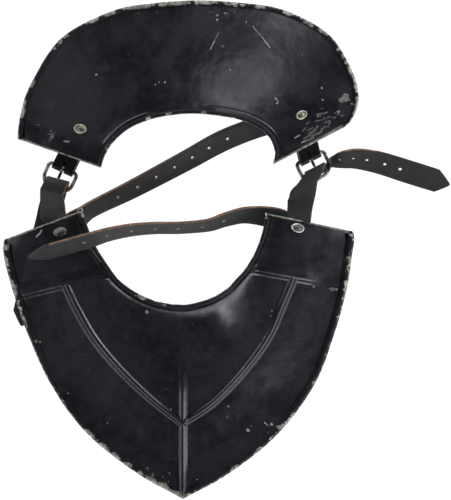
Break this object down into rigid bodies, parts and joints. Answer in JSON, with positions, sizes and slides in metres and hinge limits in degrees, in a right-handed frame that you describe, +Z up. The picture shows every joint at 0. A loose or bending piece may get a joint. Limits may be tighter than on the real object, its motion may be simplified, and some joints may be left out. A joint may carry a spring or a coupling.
{
  "type": "gorget",
  "caption": "Neck armour: pointed front plate and curved back plate of black painted steel with rolled edges, joined at each side by a leather strap and buckle, with long punched straps.",
  "frame": {"origin": "middle of the footprint, at the height of the surface that it lies on", "axes": "+X to the wearer's left as laid out, +Y from the front plate's tip to the back plate, +Z up from the table, outside of both plates up"},
  "size_m": [0.389, 0.4324, 0.0602],
  "materials": {
    "painted_steel": "black gloss paint worn to bare steel along the rolled and cut edges",
    "rivet": "dull domed rivets with a brassy rim",
    "buckle": "darkened steel wire",
    "leather": "black grain side, brown cut edges and flesh side"
  },
  "bodies": {
    "root": {"front_plate": "painted_steel", "back_plate": "painted_steel", "front_left_rivet": "rivet", "front_right_rivet": "rivet", "back_left_rivet": "rivet", "back_right_rivet": "rivet", "left_buckle_frame": "buckle", "right_buckle_frame": "buckle", "left_buckle_prong": "buckle", "right_buckle_prong": "buckle", "left_buckle_tab": "leather", "right_buckle_tab": "leather", "left_closing_strap": "leather", "right_closing_strap": "leather", "left_long_strap": "leather", "right_long_strap": "leather"}
  },
  "joints": []
}
